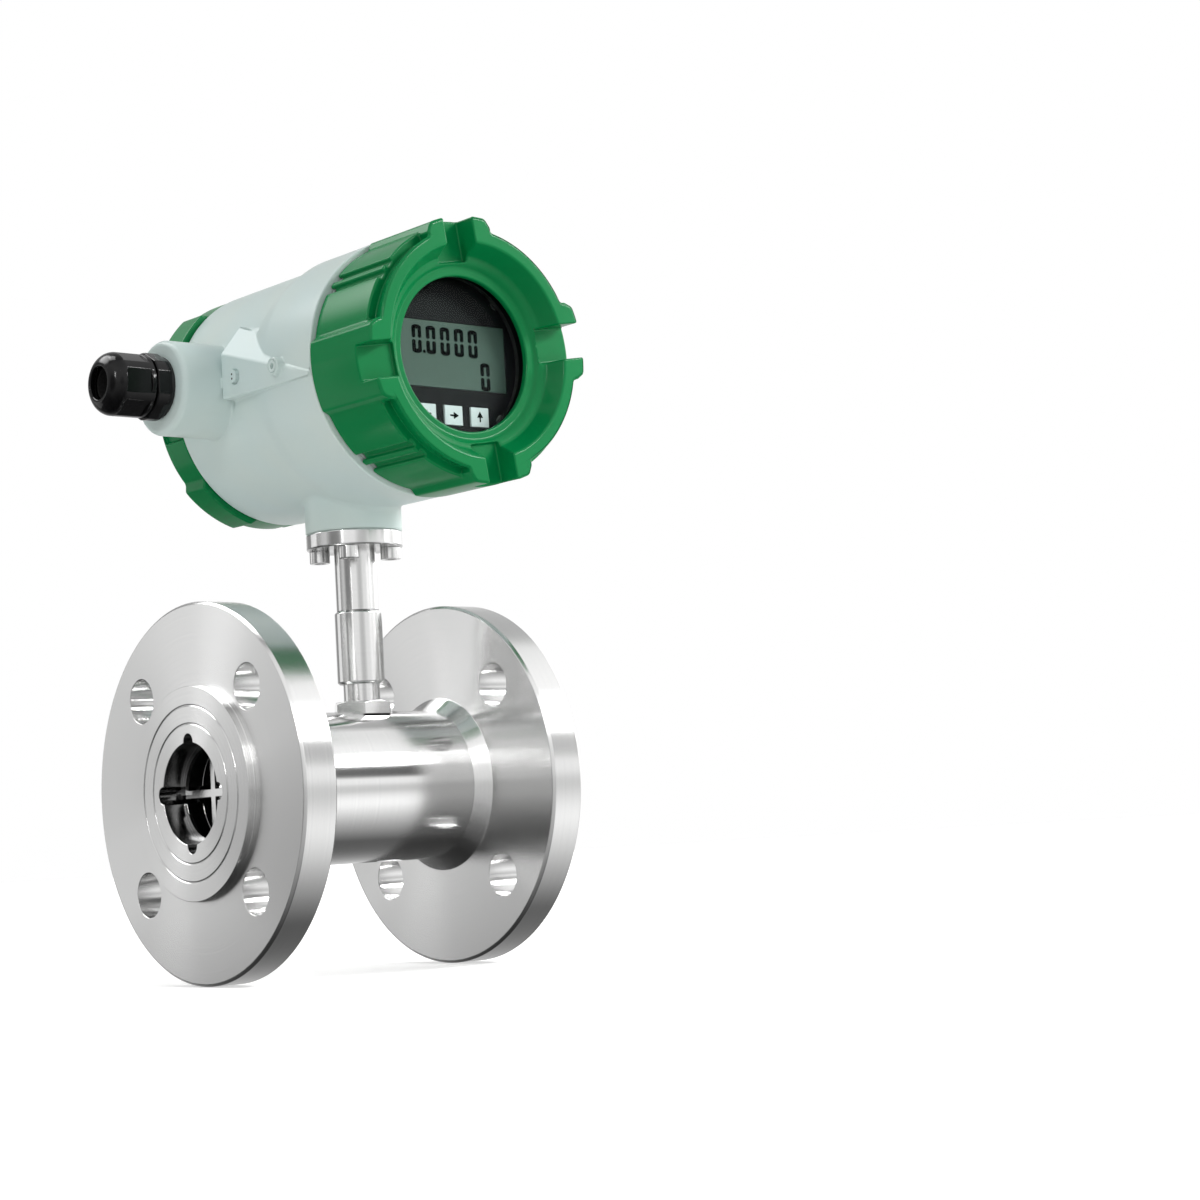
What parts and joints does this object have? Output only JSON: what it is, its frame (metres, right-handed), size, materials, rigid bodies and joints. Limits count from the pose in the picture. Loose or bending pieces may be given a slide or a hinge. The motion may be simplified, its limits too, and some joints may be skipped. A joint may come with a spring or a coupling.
{
  "type": "turbine flow sensor",
  "caption": "Flanged liquid turbine flow sensor with a display head on a round neck, screw covers, cable gland and a bladed rotor in the bore.",
  "frame": {"origin": "centre of the inlet flange's raised face, on the pipe axis", "axes": "+X runs down the pipe from inlet to outlet, +Z rises from the pipe along the neck to the head, and the display looks along -Y"},
  "size_m": [0.157, 0.166, 0.2938],
  "materials": {
    "stainless": "turned and brushed",
    "polished_steel": "polished",
    "body_paint": "satin powder coat",
    "cover_paint": "gloss powder coat",
    "black_nylon": "glossy moulded",
    "seal_rubber": "matte",
    "clear_glass": "clear polished",
    "face_black": "satin print",
    "lcd": "grey green panel",
    "key_grey": "satin",
    "circuit_board": "lacquered board",
    "switch_black": "moulded",
    "terminal_green": "moulded",
    "coil_copper": "varnished winding",
    "bush_alloy": "sintered",
    "epoxy": "cast resin",
    "wire_grey": "cable sheath"
  },
  "bodies": {
    "meter": {"meter_tube": "polished_steel", "inlet_flange": "stainless", "outlet_flange": "stainless", "inlet_guide": "stainless", "outlet_guide": "stainless", "inlet_bush": "bush_alloy", "outlet_bush": "bush_alloy", "inlet_snap_ring": "stainless", "outlet_snap_ring": "stainless", "neck_stem": "polished_steel", "lock_nut": "polished_steel", "pickup_coil": "coil_copper", "pickup_lead": "wire_grey", "neck_sleeve": "polished_steel", "neck_tube": "polished_steel", "neck_flange": "stainless", "neck_seal": "seal_rubber", "neck_screws": "stainless", "housing": "body_paint", "lock_screw": "stainless", "ground_screw": "stainless", "main_board": "circuit_board", "display_board": "circuit_board", "standoffs": "stainless", "face_spacers": "black_nylon", "face_plate": "face_black", "face_screws": "stainless", "lcd_panel": "lcd", "key_switches": "switch_black", "terminal_block": "terminal_green", "terminal_screws": "stainless", "feedthrough": "epoxy", "gland_body": "black_nylon", "gland_washer": "seal_rubber"},
    "turbine": {"rotor": "stainless", "rotor_shaft": "polished_steel"},
    "front_seal_ring": {"front_seal": "seal_rubber"},
    "front_cap": {"front_cover": "cover_paint", "window_gasket": "seal_rubber", "window_glass": "clear_glass", "glass_retainer": "seal_rubber"},
    "rear_seal_ring": {"rear_seal": "seal_rubber"},
    "rear_cap": {"rear_cover": "cover_paint"},
    "gland_insert": {"gland_seal": "seal_rubber"},
    "gland_cap": {"gland_nut": "black_nylon"},
    "left_key": {"left_key": "key_grey"},
    "middle_key": {"middle_key": "key_grey"},
    "right_key": {"right_key": "key_grey"}
  },
  "joints": [
    {"name": "rotor_spin", "type": "hinge", "parent": "meter", "child": "turbine", "pos_m": [0.084, 0, 0], "axis": [1, 0, 0], "continuous": true},
    {"name": "front_seal_slide", "type": "slide", "parent": "meter", "child": "front_seal_ring", "axis": [0, -1, 0], "range_m": [0, 0.012]},
    {"name": "front_cover_turn", "type": "hinge", "parent": "front_seal_ring", "child": "front_cap", "pos_m": [0.084, -0.07, 0.166], "axis": [0, -1, 0], "range_deg": [0, 2160]},
    {"name": "rear_seal_slide", "type": "slide", "parent": "meter", "child": "rear_seal_ring", "axis": [0, 1, 0], "range_m": [0, 0.008]},
    {"name": "rear_cover_turn", "type": "hinge", "parent": "rear_seal_ring", "child": "rear_cap", "pos_m": [0.084, 0.06, 0.166], "axis": [0, 1, 0], "range_deg": [0, 1440]},
    {"name": "gland_seal_slide", "type": "slide", "parent": "meter", "child": "gland_insert", "axis": [-1, 0, 0], "range_m": [0, 0.006]},
    {"name": "gland_nut_turn", "type": "hinge", "parent": "gland_insert", "child": "gland_cap", "pos_m": [0, 0.0284, 0.166], "axis": [-1, 0, 0], "range_deg": [0, 1440]},
    {"name": "left_key_press", "type": "slide", "parent": "meter", "child": "left_key", "axis": [0, 1, 0], "range_m": [0, 0.0005], "stiffness_N_per_m": 3000, "springref_m": -0.0002},
    {"name": "middle_key_press", "type": "slide", "parent": "meter", "child": "middle_key", "axis": [0, 1, 0], "range_m": [0, 0.0005], "stiffness_N_per_m": 3000, "springref_m": -0.0002},
    {"name": "right_key_press", "type": "slide", "parent": "meter", "child": "right_key", "axis": [0, 1, 0], "range_m": [0, 0.0005], "stiffness_N_per_m": 3000, "springref_m": -0.0002}
  ],
  "couplings": [
    {"joint": "front_seal_slide", "follows": "front_cover_turn", "m_per_rad": 0.00031831},
    {"joint": "rear_seal_slide", "follows": "rear_cover_turn", "m_per_rad": 0.00031831},
    {"joint": "gland_seal_slide", "follows": "gland_nut_turn", "m_per_rad": 0.00023873}
  ]
}
